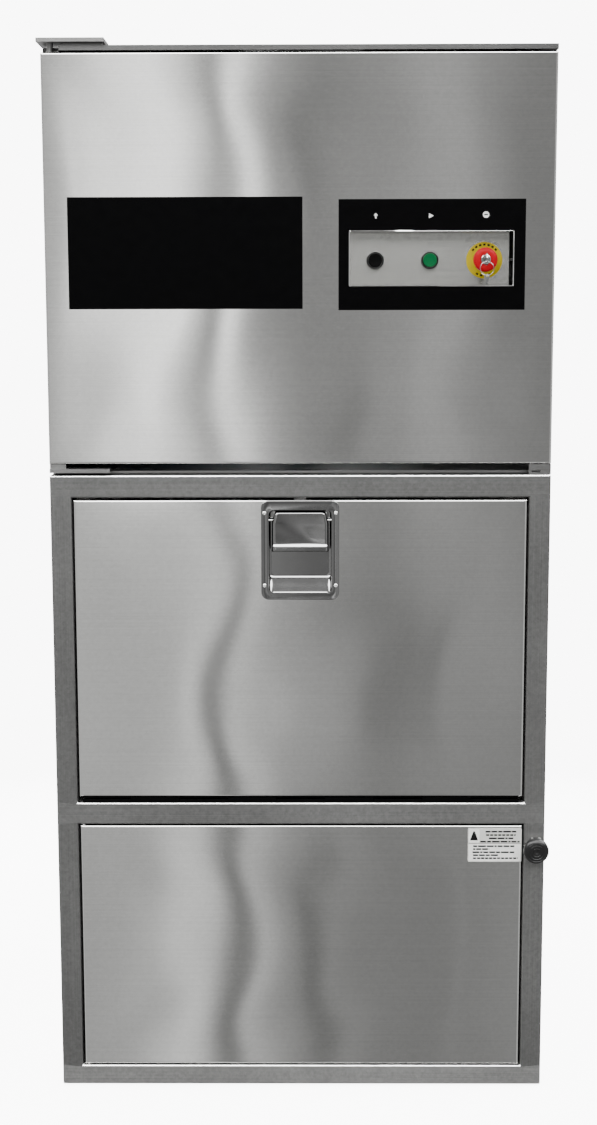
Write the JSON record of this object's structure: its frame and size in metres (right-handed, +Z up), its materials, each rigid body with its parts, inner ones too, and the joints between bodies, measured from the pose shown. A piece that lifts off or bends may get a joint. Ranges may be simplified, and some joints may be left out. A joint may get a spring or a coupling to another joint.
{
  "type": "trash compactor",
  "caption": "Tall stainless trash compactor: control head with hinged door, drop-down loading door with paddle latch, lower container door with turn knob.",
  "frame": {"origin": "centre of the cabinet's footprint on the floor", "axes": "+Z up, front faces -Y, +X to the right seen from the front"},
  "size_m": [0.8489, 0.826, 1.784],
  "materials": {
    "brushed_stainless": "brushed stainless sheet",
    "polished_steel": "polished pressed stainless",
    "plated": "bright plating",
    "skid_rubber": "matt black rubber",
    "black_plastic": "black moulding",
    "gloss_black": "black laminate",
    "grey_enamel": "grey enamel",
    "green_plastic": "green button",
    "yellow_plastic": "yellow legend disc",
    "grey_plastic": "dark grey moulding",
    "red_plastic": "red mushroom head",
    "label": "pale printed film",
    "black_enamel": "black enamel",
    "bare_plate": "grey painted plate",
    "blue_enamel": "blue enamel",
    "alloy": "machined alloy",
    "hose": "black hydraulic hose"
  },
  "bodies": {
    "cabinet": {"stile_left": "brushed_stainless", "stile_right": "brushed_stainless", "rail_top": "brushed_stainless", "rail_middle": "brushed_stainless", "rail_bottom": "brushed_stainless", "side_panel_left": "brushed_stainless", "side_panel_right": "brushed_stainless", "back_panel": "brushed_stainless", "base_plate": "brushed_stainless", "skid_left": "skid_rubber", "skid_right": "skid_rubber", "chamber_liner": "brushed_stainless", "head_floor": "brushed_stainless", "head_side_left": "brushed_stainless", "head_side_right": "brushed_stainless", "head_back": "brushed_stainless", "cable_gland": "black_plastic", "top_cover": "brushed_stainless", "hinge_plate_top": "brushed_stainless", "hinge_plate_bottom": "brushed_stainless", "door_rest": "brushed_stainless", "control_panel": "brushed_stainless", "control_box": "grey_enamel", "up_bezel": "black_plastic", "start_bezel": "black_plastic", "estop_legend": "yellow_plastic", "estop_collar": "grey_plastic", "hinge_leaf_frame": "brushed_stainless", "loading_hinge_pin": "plated", "container_hinge_rod": "plated", "knob_escutcheon": "plated", "cylinder_barrel": "black_enamel", "hydraulic_tank": "blue_enamel", "pump_motor": "grey_enamel", "valve_block": "alloy", "hose_upper": "hose", "hose_lower": "hose", "container": "black_enamel"},
    "head_door": {"head_door": "brushed_stainless", "nameplate": "gloss_black", "control_bezel": "gloss_black"},
    "loading_door": {"loading_door": "brushed_stainless", "loading_door_liner": "brushed_stainless", "hinge_leaf_door": "brushed_stainless", "latch_cup": "polished_steel"},
    "latch_paddle": {"latch_paddle": "polished_steel"},
    "latch_bolt": {"latch_bolt": "plated"},
    "container_door": {"container_door": "brushed_stainless", "info_label": "label"},
    "turn_knob": {"latch_knob": "black_plastic", "latch_shaft": "plated"},
    "ram": {"platen": "bare_plate", "ram_rod": "plated"},
    "up_button": {"up_button": "black_plastic"},
    "start_button": {"start_button": "green_plastic"},
    "estop_head": {"estop_head": "red_plastic"},
    "estop_key": {"estop_key": "plated"},
    "key_ring": {"key_ring": "plated"}
  },
  "joints": [
    {"name": "head_door_hinge", "type": "hinge", "parent": "cabinet", "child": "head_door", "pos_m": [-0.4045, -0.366, 1.0955], "axis": [0, 0, -1], "range_deg": [0, 110]},
    {"name": "loading_door_hinge", "type": "hinge", "parent": "cabinet", "child": "loading_door", "pos_m": [0, -0.3768, 0.516], "axis": [1, 0, 0], "range_deg": [0, 90]},
    {"name": "latch_paddle_hinge", "type": "hinge", "parent": "loading_door", "child": "latch_paddle", "pos_m": [0, -0.371, 1], "axis": [-1, 0, 0], "range_deg": [0, 30], "stiffness_Nm_per_rad": 0.5, "springref_deg": -17.19},
    {"name": "latch_bolt_slide", "type": "slide", "parent": "loading_door", "child": "latch_bolt", "axis": [0, 0, -1], "range_m": [0, 0.008]},
    {"name": "container_door_hinge", "type": "hinge", "parent": "cabinet", "child": "container_door", "pos_m": [-0.3734, -0.375, 0.0407], "axis": [0, 0, -1], "range_deg": [0, 110]},
    {"name": "knob_turn", "type": "hinge", "parent": "cabinet", "child": "turn_knob", "pos_m": [0.403, -0.38, 0.432], "axis": [0, 1, 0], "range_deg": [0, 90]},
    {"name": "ram_slide", "type": "slide", "parent": "cabinet", "child": "ram", "axis": [0, 0, 1], "range_m": [-0.58, 0]},
    {"name": "up_push", "type": "slide", "parent": "cabinet", "child": "up_button", "axis": [0, 1, 0], "range_m": [0, 0.004], "stiffness_N_per_m": 400, "springref_m": -0.002},
    {"name": "start_push", "type": "slide", "parent": "cabinet", "child": "start_button", "axis": [0, 1, 0], "range_m": [0, 0.004], "stiffness_N_per_m": 400, "springref_m": -0.002},
    {"name": "estop_push", "type": "slide", "parent": "cabinet", "child": "estop_head", "axis": [0, 1, 0], "range_m": [0, 0.005]},
    {"name": "key_turn", "type": "hinge", "parent": "estop_head", "child": "estop_key", "pos_m": [0.3048, -0.38, 1.43], "axis": [0, 1, 0], "range_deg": [0, 45], "stiffness_Nm_per_rad": 0.06, "springref_deg": -11.46},
    {"name": "ring_swing", "type": "hinge", "parent": "estop_key", "child": "key_ring", "pos_m": [0.3048, -0.408, 1.4262], "axis": [1, 0, 0], "range_deg": [-60, 20]}
  ],
  "couplings": [
    {"joint": "latch_bolt_slide", "follows": "latch_paddle_hinge", "m_per_rad": 0.01527}
  ]
}
